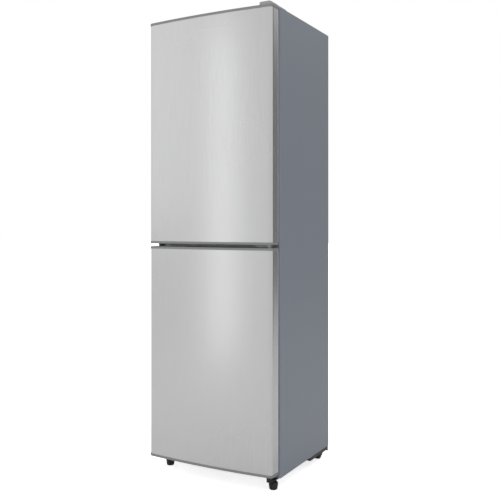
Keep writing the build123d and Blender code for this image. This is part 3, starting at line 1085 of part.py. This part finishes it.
def freezer_drawer(name, low_z, high_z, rear_y):
    """A drawer: an open bin behind a raised front with a rim and a hollow pull."""
    front_y = FRONT_Y + DRAWER_FRONT
    with BuildPart() as drawer:
        with BuildSketch(across(front_y)):
            centred(0, (low_z + high_z) / 2, 2 * DRAWER_HALF, high_z - low_z, 10)
        extrude(amount=-9)
        fillet(drawer.faces().sort_by(Axis.Y)[0].edges(), 2.5)
        open_bin(DRAWER_HALF - 8, (front_y + 8, rear_y), (low_z, high_z - 26), 10, 2)
        with BuildSketch(across(front_y)):
            centred(0, (low_z + high_z) / 2, 2 * DRAWER_HALF - 24, high_z - low_z - 24, 8)
        extrude(amount=-2.5, mode=Mode.SUBTRACT)
        with BuildSketch(across(front_y - 1)):
            centred(0, high_z - 40, 130, 30, 8)
        extrude(amount=-7.5, mode=Mode.SUBTRACT)
        with BuildSketch(across(front_y)):
            centred(0, high_z - 27, 124, 8, 3)
        extrude(amount=-4)
    save(drawer, name)


WIRE_TOP = TUBE_R + 1.5 * WIRE_R + SEAT
DRAWER_AIR = 8.0
freezer_drawer("freezer_drawer_bottom", FREEZER_FLOOR_Z + SEAT, EVAP_ZS[0] - TUBE_R - DRAWER_AIR, STEP_Y - 8)
freezer_drawer("freezer_drawer_middle", EVAP_ZS[0] + WIRE_TOP, EVAP_ZS[1] - TUBE_R - DRAWER_AIR,
               FREEZER_REAR_Y - 22)
freezer_drawer("freezer_drawer_top", EVAP_ZS[1] + WIRE_TOP, EVAP_ZS[2] - TUBE_R - DRAWER_AIR,
               FREEZER_REAR_Y - 22)
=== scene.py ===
"""Looks of the bottom freezer refrigerator: finishes, small fittings, camera and studio.

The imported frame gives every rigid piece.  This script dresses those pieces with procedural
materials, adds the small repeated fittings that are too fine for the frame, and sets up the
view of the photograph.  Lengths are metres in the frame's own axes.
"""
import json
import logging
import math
from dataclasses import dataclass
from enum import Enum
from typing import Callable, Iterable, Sequence

import bpy
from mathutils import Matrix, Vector


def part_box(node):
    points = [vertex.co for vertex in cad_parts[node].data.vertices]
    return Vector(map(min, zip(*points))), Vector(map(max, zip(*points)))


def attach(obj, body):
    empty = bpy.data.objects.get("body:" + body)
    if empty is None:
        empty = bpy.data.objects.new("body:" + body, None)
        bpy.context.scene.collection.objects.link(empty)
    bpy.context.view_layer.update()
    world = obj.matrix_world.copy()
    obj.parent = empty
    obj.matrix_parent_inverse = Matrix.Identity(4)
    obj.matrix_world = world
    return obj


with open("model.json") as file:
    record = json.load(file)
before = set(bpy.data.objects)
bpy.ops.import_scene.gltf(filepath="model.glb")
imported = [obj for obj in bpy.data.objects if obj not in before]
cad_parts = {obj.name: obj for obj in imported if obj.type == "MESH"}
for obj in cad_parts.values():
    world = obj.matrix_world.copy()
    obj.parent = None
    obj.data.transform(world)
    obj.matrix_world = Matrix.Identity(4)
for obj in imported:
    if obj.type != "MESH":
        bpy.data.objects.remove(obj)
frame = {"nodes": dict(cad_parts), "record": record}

log = logging.getLogger("scene")
Point = tuple[float, float, float]

PICTURE = 500.0  # the photograph's side in pixels
FOCAL_PX = 711.4  # focal length in those pixels
HORIZON_PX = 225.2  # row of the horizon
SENSOR_MM = 36.0
CAMERA_AT: Point = (1.3018, -2.2800, 0.879)
CAMERA_YAW = math.radians(28.99)


class Grain(Enum):
    """Which fine surface pattern a finish carries."""

    NONE = "none"
    ORANGE_PEEL = "orange_peel"
    BRUSHED = "brushed"
    MOULDED = "moulded"
    FOAMED = "foamed"


@dataclass(frozen=True)
class Finish:
    """One surface finish.

    Attributes:
        name: the record's material slot it stands for, or its own where a piece differs.
        colour: linear base colour.
        roughness: microfacet roughness.
        metallic: how metallic, 0 to 1.
        grain: the fine pattern.
        depth: height of that pattern in metres.
        alpha: opacity.
        transmission: share of light let through.
    """

    name: str
    colour: tuple[float, float, float]
    roughness: float
    metallic: float = 0.0
    grain: Grain = Grain.NONE
    depth: float = 0.0
    alpha: float = 1.0
    transmission: float = 0.0


FINISHES = (
    Finish("cabinet_paint", (0.225, 0.246, 0.290), 0.42, 0.0, Grain.ORANGE_PEEL, 0.00004),
    Finish("frame_paint", (0.70, 0.70, 0.70), 0.45, 0.0, Grain.ORANGE_PEEL, 0.00004),
    Finish("galvanised", (0.50, 0.52, 0.54), 0.38, 0.9, Grain.MOULDED, 0.00004),
    Finish("door_metal", (0.595, 0.595, 0.60), 0.27, 0.85, Grain.BRUSHED, 0.00002),
    Finish("cap_plastic", (0.235, 0.237, 0.240), 0.48, 0.0, Grain.MOULDED, 0.00003),
    Finish("cover_plastic", (0.36, 0.362, 0.365), 0.48, 0.0, Grain.MOULDED, 0.00003),
    Finish("inner_plastic", (0.78, 0.80, 0.80), 0.30, 0.0, Grain.MOULDED, 0.00002),
    Finish("clear_plastic", (0.86, 0.92, 0.95), 0.08, 0.0, Grain.NONE, 0.0, 1.0, 0.85),
    Finish("shelf_glass", (0.88, 0.95, 0.93), 0.03, 0.0, Grain.NONE, 0.0, 1.0, 0.95),
    Finish("lamp_glass", (0.95, 0.93, 0.86), 0.35, 0.0, Grain.NONE, 0.0, 1.0, 0.6),
    Finish("seal_rubber", (0.070, 0.074, 0.076), 0.62, 0.0, Grain.MOULDED, 0.00003),
    Finish("foam", (0.75, 0.62, 0.36), 0.90, 0.0, Grain.FOAMED, 0.0006),
    Finish("hinge_steel", (0.36, 0.37, 0.38), 0.36, 0.85, Grain.MOULDED, 0.00002),
    Finish("black_plastic", (0.012, 0.012, 0.013), 0.40, 0.0, Grain.MOULDED, 0.00004),
    Finish("bush_plastic", (0.62, 0.62, 0.60), 0.40),
    Finish("compressor_paint", (0.010, 0.010, 0.011), 0.28, 0.0, Grain.ORANGE_PEEL, 0.00006),
    Finish("copper", (0.75, 0.36, 0.20), 0.28, 1.0, Grain.MOULDED, 0.00002),
    Finish("aluminium_plate", (0.70, 0.71, 0.72), 0.36, 0.95, Grain.BRUSHED, 0.00002),
    Finish("wire_enamel", (0.80, 0.81, 0.81), 0.30),
)


class ShaderGroups:
    """Shader node groups shared by the finishes."""

    @staticmethod
    def _new(name: str, inputs: Sequence[tuple[str, float]], outputs: Sequence[tuple[str, str]]):
        """Start a group.

        Args:
            name: the group's name.
            inputs: name and start value of each number it takes.
            outputs: name and socket type of each result.

        Returns:
            The tree with its input and output nodes.
        """
        tree = bpy.data.node_groups.new(name, "ShaderNodeTree")
        for label, value in inputs:
            tree.interface.new_socket(label, in_out="INPUT", socket_type="NodeSocketFloat").default_value = value
        for label, kind in outputs:
            tree.interface.new_socket(label, in_out="OUTPUT", socket_type=kind)
        return tree, tree.nodes.new("NodeGroupInput"), tree.nodes.new("NodeGroupOutput")

    @classmethod
    def texture(cls, name: str, stretch: Point, detail: float):
        """A pattern group: noise in object space, stretched along the axes.

        Args:
            name: the group's name.
            stretch: how many times finer the noise is along each axis.
            detail: levels of noise.

        Returns:
            The finished group, with outputs Value and Normal.
        """
        tree, entry, leave = cls._new(
            name,
            (("Scale", 1.0), ("Depth", 0.0001)),
            (("Value", "NodeSocketFloat"), ("Normal", "NodeSocketVector")),
        )
        nodes, links = tree.nodes, tree.links
        place = nodes.new("ShaderNodeTexCoord")
        mapping = nodes.new("ShaderNodeMapping")
        mapping.inputs["Scale"].default_value = stretch
        noise = nodes.new("ShaderNodeTexNoise")
        noise.inputs["Detail"].default_value = detail
        bump = nodes.new("ShaderNodeBump")
        bump.inputs["Strength"].default_value = 1.0
        links.new(place.outputs["Object"], mapping.inputs["Vector"])
        links.new(mapping.outputs["Vector"], noise.inputs["Vector"])
        links.new(entry.outputs["Scale"], noise.inputs["Scale"])
        links.new(entry.outputs["Depth"], bump.inputs["Distance"])
        links.new(noise.outputs["Fac"], bump.inputs["Height"])
        links.new(noise.outputs["Fac"], leave.inputs["Value"])
        links.new(bump.outputs["Normal"], leave.inputs["Normal"])
        return tree

    @classmethod
    def handling(cls):
        """Broad, faint unevenness of a wiped surface.

        Returns:
            The finished group, with output Value around 0.
        """
        tree, entry, leave = cls._new(
            "Handling", (("Amount", 0.05), ("Scale", 3.0)), (("Value", "NodeSocketFloat"),)
        )
        nodes, links = tree.nodes, tree.links
        place = nodes.new("ShaderNodeTexCoord")
        noise = nodes.new("ShaderNodeTexNoise")
        noise.inputs["Detail"].default_value = 2.0
        centre = nodes.new("ShaderNodeMath")
        centre.operation = "SUBTRACT"
        centre.inputs[1].default_value = 0.5
        gain = nodes.new("ShaderNodeMath")
        gain.operation = "MULTIPLY"
        links.new(place.outputs["Object"], noise.inputs["Vector"])
        links.new(entry.outputs["Scale"], noise.inputs["Scale"])
        links.new(noise.outputs["Fac"], centre.inputs[0])
        links.new(centre.outputs[0], gain.inputs[0])
        links.new(entry.outputs["Amount"], gain.inputs[1])
        links.new(gain.outputs[0], leave.inputs["Value"])
        return tree


class MaterialShop:
    """Builds one procedural material for each finish."""

    SCALES = {Grain.ORANGE_PEEL: 420.0, Grain.BRUSHED: 1.0, Grain.MOULDED: 900.0, Grain.FOAMED: 160.0}

    def __init__(self) -> None:
        """Make the shared groups and every finish's material."""
        self.groups = {
            Grain.ORANGE_PEEL: ShaderGroups.texture("OrangePeel", (1.0, 1.0, 1.0), 2.0),
            Grain.BRUSHED: ShaderGroups.texture("Brushing", (900.0, 900.0, 14.0), 3.0),
            Grain.MOULDED: ShaderGroups.texture("MouldGrain", (1.0, 1.0, 1.0), 4.0),
            Grain.FOAMED: ShaderGroups.texture("FoamCells", (1.0, 1.0, 1.0), 5.0),
        }
        self.handling = ShaderGroups.handling()
        self.materials = {finish.name: self.build(finish) for finish in FINISHES}

    def build(self, finish: Finish) -> bpy.types.Material:
        """Make a finish's material.

        Args:
            finish: the finish.

        Returns:
            The material.
        """
        material = bpy.data.materials.new(finish.name)
        material.use_nodes = True
        nodes, links = material.node_tree.nodes, material.node_tree.links
        shader = nodes["Principled BSDF"]
        shader.inputs["Base Color"].default_value = (*finish.colour, 1.0)
        shader.inputs["Metallic"].default_value = finish.metallic
        shader.inputs["Alpha"].default_value = finish.alpha
        shader.inputs["Transmission Weight"].default_value = finish.transmission
        uneven = nodes.new("ShaderNodeGroup")
        uneven.node_tree = self.handling
        uneven.inputs["Amount"].default_value = 0.16 * finish.roughness
        rough = nodes.new("ShaderNodeMath")
        rough.operation = "ADD"
        rough.inputs[1].default_value = finish.roughness
        links.new(uneven.outputs["Value"], rough.inputs[0])
        links.new(rough.outputs[0], shader.inputs["Roughness"])
        if finish.grain is not Grain.NONE:
            self._add_grain(finish, material, shader)
        return material

    def _add_grain(self, finish: Finish, material: bpy.types.Material, shader: bpy.types.Node) -> None:
        """Give a material its fine pattern.

        Args:
            finish: the finish.
            material: its material.
            shader: the material's surface shader.
        """
        nodes, links = material.node_tree.nodes, material.node_tree.links
        pattern = nodes.new("ShaderNodeGroup")
        pattern.node_tree = self.groups[finish.grain]
        pattern.inputs["Scale"].default_value = self.SCALES[finish.grain]
        pattern.inputs["Depth"].default_value = finish.depth
        links.new(pattern.outputs["Normal"], shader.inputs["Normal"])
        tint = nodes.new("ShaderNodeMapRange")
        spread = 0.10 if finish.grain is Grain.BRUSHED else 0.03
        tint.inputs["To Min"].default_value = 1.0 - spread
        tint.inputs["To Max"].default_value = 1.0 + spread
        scaled = nodes.new("ShaderNodeVectorMath")
        scaled.operation = "SCALE"
        scaled.inputs[0].default_value = finish.colour
        links.new(pattern.outputs["Value"], tint.inputs["Value"])
        links.new(tint.outputs["Result"], scaled.inputs["Scale"])
        links.new(scaled.outputs["Vector"], shader.inputs["Base Color"])


class FrameDresser:
    """Puts the finishes on the frame's own pieces."""

    # Slot swaps: the deck and the bottom hinge get black as painted shade; the top hinge cover gets a paler plastic.
    SLOT_SWAPS_WITH_PAINTED_SHADE = {
        "compressor_deck": "black_plastic",  # painted shade: black stands in for the shade under the cabinet, here and on the bottom hinge
        "bottom_hinge": "black_plastic",
        "top_hinge_cover": "cover_plastic",  # and the cover is paler than the doors' end caps
    }

    def __init__(self, shop: MaterialShop) -> None:
        """Keep the material shop.

        Args:
            shop: source of materials.
        """
        self.shop = shop

    def dress(self) -> None:
        """Give each node the material of its record slot, or its swap, where black is painted shade under the
        cabinet.
        """
        slots = {row["node"]: row["material_slot"] for row in frame["record"]["subparts"]}
        for name, node in frame["nodes"].items():
            material = self.shop.materials[self.SLOT_SWAPS_WITH_PAINTED_SHADE.get(name, slots[name])]
            node.data.materials.clear()
            node.data.materials.append(material)
        log.info("dressed %d pieces", len(slots))


class MeshSmith:
    """Makes small meshes in the frame's axes."""

    @staticmethod
    def tube_along(name: str, points: Sequence[Point], radius: float, closed: bool = False) -> bpy.types.Object:
        """Sweep a round bar along a line.

        Args:
            name: the object's name.
            points: the line's corners.
            radius: the bar's radius.
            closed: whether the line closes on itself.

        Returns:
            The mesh object.
        """
        curve = bpy.data.curves.new(name, "CURVE")
        curve.dimensions = "3D"
        curve.bevel_depth = radius
        curve.bevel_resolution = 3
        curve.use_fill_caps = True
        line = curve.splines.new("POLY")
        line.points.add(len(points) - 1)
        for corner, point in zip(line.points, points):
            corner.co = (*point, 1.0)
        line.use_cyclic_u = closed
        source = bpy.data.objects.new(f"{name}_line", curve)
        bpy.context.scene.collection.objects.link(source)
        mesh = bpy.data.meshes.new_from_object(source.evaluated_get(bpy.context.evaluated_depsgraph_get()))
        bpy.data.objects.remove(source)
        piece = bpy.data.objects.new(name, mesh)
        bpy.context.scene.collection.objects.link(piece)
        return piece


class Repeater:
    """Places copies of a simple form with a Geometry Nodes tree and keeps the real mesh."""

    @staticmethod
    def grid(name: str, count: tuple[int, int, int], low: Point, high: Point, size: Point,
             material: bpy.types.Material, round_form: bool = False) -> bpy.types.Object:
        """Fill a box with evenly spaced blocks or studs.

        Args:
            name: the object's name.
            count: copies along each axis.
            low: centre of the first copy.
            high: centre of the last copy.
            size: size of one copy.
            material: its material.
            round_form: whether a copy is a short cylinder along Y.

        Returns:
            The mesh object.
        """
        tree = bpy.data.node_groups.new(f"{name}_repeat", "GeometryNodeTree")
        tree.interface.new_socket("Geometry", in_out="OUTPUT", socket_type="NodeSocketGeometry")
        tree.interface.new_socket("Size", in_out="INPUT", socket_type="NodeSocketVector").default_value = size
        nodes, links = tree.nodes, tree.links
        entry, leave = nodes.new("NodeGroupInput"), nodes.new("NodeGroupOutput")
        spots: bpy.types.Node | None = None
        for axis in range(3):
            line = nodes.new("GeometryNodeMeshLine")
            line.mode = "END_POINTS"
            line.inputs["Count"].default_value = count[axis]
            start, end = [0.0] * 3, [0.0] * 3
            if axis == 0:
                start, end = list(low), [high[0], low[1], low[2]]
            else:
                end[axis] = high[axis] - low[axis]
            line.inputs["Start Location"].default_value = start
            line.inputs["Offset"].default_value = end
            if spots is None:
                spots = line
                continue
            spread = nodes.new("GeometryNodeInstanceOnPoints")
            real = nodes.new("GeometryNodeRealizeInstances")
            links.new(line.outputs[0], spread.inputs["Points"])
            links.new(spots.outputs[0], spread.inputs["Instance"])
            links.new(spread.outputs[0], real.inputs[0])
            spots = real
        if round_form:
            form = nodes.new("GeometryNodeMeshCylinder")
            form.inputs["Vertices"].default_value = 20
            form.inputs["Radius"].default_value = 0.5
            form.inputs["Depth"].default_value = 1.0
            turn = nodes.new("GeometryNodeTransform")
            turn.inputs["Rotation"].default_value = (math.pi / 2, 0.0, 0.0)
            links.new(form.outputs[0], turn.inputs[0])
            form = turn
        else:
            form = nodes.new("GeometryNodeMeshCube")
        scale = nodes.new("GeometryNodeTransform")
        copies = nodes.new("GeometryNodeInstanceOnPoints")
        real = nodes.new("GeometryNodeRealizeInstances")
        paint = nodes.new("GeometryNodeSetMaterial")
        paint.inputs["Material"].default_value = material
        links.new(entry.outputs["Size"], scale.inputs["Scale"])
        links.new(form.outputs[0], scale.inputs[0])
        links.new(spots.outputs[0], copies.inputs["Points"])
        links.new(scale.outputs[0], copies.inputs["Instance"])
        links.new(copies.outputs[0], real.inputs[0])
        links.new(real.outputs[0], paint.inputs[0])
        links.new(paint.outputs[0], leave.inputs[0])

        holder = bpy.data.objects.new(f"{name}_holder", bpy.data.meshes.new(f"{name}_holder"))
        bpy.context.scene.collection.objects.link(holder)
        holder.modifiers.new("repeat", "NODES").node_group = tree
        depsgraph = bpy.context.evaluated_depsgraph_get()
        mesh = bpy.data.meshes.new_from_object(holder.evaluated_get(depsgraph), depsgraph=depsgraph)
        bpy.data.objects.remove(holder)
        piece = bpy.data.objects.new(name, mesh)
        bpy.context.scene.collection.objects.link(piece)
        return piece


@dataclass(frozen=True)
class Fitting:
    """A small fitting and how it's made.

    Attributes:
        name: the object's name.
        body: the frame body it moves with.
        slot: the record's material slot.
        make: builds the object from a material.
    """

    name: str
    body: str
    slot: str
    make: Callable[[bpy.types.Material], bpy.types.Object]


class Fittings:
    """The small repeated fittings of the refrigerator."""

    SUNK = 0.0006  # how far a fitting sits into its carrier

    def __init__(self, shop: MaterialShop) -> None:
        """Keep the material shop.

        Args:
            shop: source of materials.
        """
        self.shop = shop

    def all(self) -> Iterable[Fitting]:
        """List the fittings.

        Yields:
            Each fitting.
        """
        yield Fitting("back_panel_screws", "cabinet", "hinge_steel", self.back_screws)
        yield Fitting("bottom_drawer_ribs", "bottom_freezer_drawer", "clear_plastic", self.ribs("freezer_drawer_bottom"))
        yield Fitting("middle_drawer_ribs", "middle_freezer_drawer", "clear_plastic", self.ribs("freezer_drawer_middle"))
        yield Fitting("top_drawer_ribs", "top_freezer_drawer", "clear_plastic", self.ribs("freezer_drawer_top"))
        yield Fitting("compressor_seam", "cabinet", "compressor_paint", self.compressor_seam)

    def back_screws(self, material: bpy.types.Material) -> bpy.types.Object:
        """Screw heads down both edges of the back panel.

        Args:
            material: their material.

        Returns:
            The mesh object.
        """
        low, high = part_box("back_panel")
        inset, head, stand = 0.010, 0.008, 0.0016
        y = high.y - 0.002 + stand / 2 - self.SUNK
        return Repeater.grid("back_panel_screws", (2, 1, 7), (low.x + inset, y, low.z + 0.03),
                             (high.x - inset, y, high.z - 0.03), (head, stand, head), material, True)

    def ribs(self, node: str) -> Callable[[bpy.types.Material], bpy.types.Object]:
        """Make the builder of a drawer front's upright ribs.

        Args:
            node: the drawer's node.

        Returns:
            A function that builds them.
        """

        def build(material: bpy.types.Material) -> bpy.types.Object:
            low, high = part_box(node)
            z = (low.z + 0.016, high.z - 0.062)
            y = low.y + 0.0025
            middle = (z[0] + z[1]) / 2
            return Repeater.grid(f"{node}_ribs", (15, 1, 1), (low.x + 0.030, y, middle), (high.x - 0.030, y, middle),
                                 (0.0022, 0.0022, z[1] - z[0]), material)

        return build

    def compressor_seam(self, material: bpy.types.Material) -> bpy.types.Object:
        """The weld bead round the compressor's flange.

        Args:
            material: its material.

        Returns:
            The mesh object.
        """
        low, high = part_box("compressor")
        middle = (low + high) / 2
        half_l, radius = 0.080 + 0.0036, 0.056 + 0.0036
        seam_z = low.z + 0.080
        ring = []
        steps = 48
        for step in range(steps):
            angle = 2 * math.pi * step / steps
            shift = (half_l - radius) * (1 if math.cos(angle) >= 0 else -1)
            ring.append((middle.x + shift + radius * math.cos(angle), middle.y + radius * math.sin(angle), seam_z))
        piece = MeshSmith.tube_along("compressor_seam", ring, 0.0011, closed=True)
        piece.data.materials.append(material)
        return piece

    def build(self) -> None:
        """Make every fitting and hang it on its body."""
        for fitting in self.all():
            piece = fitting.make(self.shop.materials[fitting.slot])
            piece.name = fitting.name
            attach(piece, fitting.body)
            log.info("fitted %s", fitting.name)


@dataclass(frozen=True)
class Softbox:
    """A soft area light.

    Attributes:
        name: the light's name.
        at: its place.
        target: the point it faces.
        size: width and height in metres.
        watts: its power.
    """

    name: str
    at: Point
    target: Point
    size: tuple[float, float]
    watts: float


SOFTBOXES = (
    Softbox("front_band", (-1.12, -2.45, 0.60), (0.06, -0.24, 0.55), (0.30, 3.4), 3.2),
    Softbox("front_fill", (-2.6, -2.2, 1.9), (0.0, -0.2, 0.9), (1.8, 2.2), 3.0),
    Softbox("top_light", (0.4, -0.8, 3.6), (0.0, 0.0, 0.8), (2.2, 2.2), 6.0),
)


class Studio:
    """Camera, lights, background and floor."""

    AMBIENT = 0.82
    FLOOR_HALF = 30.0
    FLOOR_GLOW = 0.75
    FLAG_X = 3.2
    FLAG_Y = (1.0, 9.0)
    FLAG_TOP = 3.4
    FLAG_GREY = 0.12

    @staticmethod
    def camera() -> None:
        """Set the camera that took the photograph."""
        data = bpy.data.cameras.new("camera")
        data.sensor_width = SENSOR_MM
        data.lens = FOCAL_PX / PICTURE * SENSOR_MM
        data.shift_y = (HORIZON_PX - PICTURE / 2) / PICTURE
        data.clip_start, data.clip_end = 0.05, 60.0
        camera = bpy.data.objects.new("camera", data)
        camera.location = CAMERA_AT
        camera.rotation_euler = (math.pi / 2, 0.0, CAMERA_YAW)
        bpy.context.scene.collection.objects.link(camera)
        bpy.context.scene.camera = camera

    @staticmethod
    def light(box: Softbox) -> None:
        """Hang one soft light.

        Args:
            box: the light's description.
        """
        data = bpy.data.lights.new(box.name, "AREA")
        data.shape = "RECTANGLE"
        data.size, data.size_y = box.size
        data.energy = box.watts
        lamp = bpy.data.objects.new(box.name, data)
        lamp.location = box.at
        lamp.rotation_euler = (Vector(box.target) - Vector(box.at)).to_track_quat("-Z", "Y").to_euler()
        lamp.visible_camera = False
        bpy.context.scene.collection.objects.link(lamp)

    def background(self) -> None:
        """White seen straight on, softer as a light."""
        world = bpy.data.worlds.new("world")
        world.use_nodes = True
        bpy.context.scene.world = world
        nodes, links = world.node_tree.nodes, world.node_tree.links
        sky = nodes["Background"]
        path = nodes.new("ShaderNodeLightPath")
        seen = nodes.new("ShaderNodeMapRange")
        seen.inputs["To Min"].default_value = self.AMBIENT
        seen.inputs["To Max"].default_value = 1.0
        links.new(path.outputs["Is Camera Ray"], seen.inputs["Value"])
        links.new(seen.outputs["Result"], sky.inputs["Strength"])
        sky.inputs["Color"].default_value = (1.0, 1.0, 1.0, 1.0)

    def floor(self) -> None:
        """A pale floor that keeps only the contact shadow."""
        half = self.FLOOR_HALF
        mesh = bpy.data.meshes.new("floor")
        mesh.from_pydata([(-half, -half, 0), (half, -half, 0), (half, half, 0), (-half, half, 0)], [], [(0, 1, 2, 3)])
        floor = bpy.data.objects.new("floor", mesh)
        bpy.context.scene.collection.objects.link(floor)
        material = bpy.data.materials.new("floor_white")
        material.use_nodes = True
        shader = material.node_tree.nodes["Principled BSDF"]
        shader.inputs["Base Color"].default_value = (0.95, 0.95, 0.95, 1.0)
        shader.inputs["Roughness"].default_value = 0.9
        shader.inputs["Emission Color"].default_value = (1.0, 1.0, 1.0, 1.0)
        path = material.node_tree.nodes.new("ShaderNodeLightPath")
        glow = material.node_tree.nodes.new("ShaderNodeMath")
        glow.operation = "MULTIPLY"
        glow.inputs[1].default_value = self.FLOOR_GLOW
        material.node_tree.links.new(path.outputs["Is Camera Ray"], glow.inputs[0])
        material.node_tree.links.new(glow.outputs[0], shader.inputs["Emission Strength"])
        mesh.materials.append(material)

    def flag(self) -> None:
        """A dark card off to the right that keeps the doors' right-hand sides dark."""
        x, y, top = self.FLAG_X, self.FLAG_Y, self.FLAG_TOP
        mesh = bpy.data.meshes.new("flag")
        mesh.from_pydata([(x, y[0], 0), (x, y[1], 0), (x, y[1], top), (x, y[0], top)], [], [(0, 1, 2, 3)])
        flag = bpy.data.objects.new("flag", mesh)
        bpy.context.scene.collection.objects.link(flag)
        flag.visible_camera = False
        material = bpy.data.materials.new("flag_grey")
        material.use_nodes = True
        grey = self.FLAG_GREY
        material.node_tree.nodes["Principled BSDF"].inputs["Base Color"].default_value = (grey, grey, grey, 1.0)
        material.node_tree.nodes["Principled BSDF"].inputs["Roughness"].default_value = 1.0
        mesh.materials.append(material)

    def build(self) -> None:
        """Set everything up."""
        self.camera()
        for box in SOFTBOXES:
            self.light(box)
        self.background()
        self.floor()
        self.flag()
        bpy.context.scene.view_settings.view_transform = "Standard"


def note_size() -> None:
    """Bring the view layer up to date."""
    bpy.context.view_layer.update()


def main() -> None:
    """Build the looks around the frame."""
    logging.basicConfig(level=logging.INFO, format="%(name)s: %(message)s")
    note_size()
    shop = MaterialShop()
    FrameDresser(shop).dress()
    Fittings(shop).build()
    Studio().build()
    note_size()


if __name__ == "__main__":
    main()
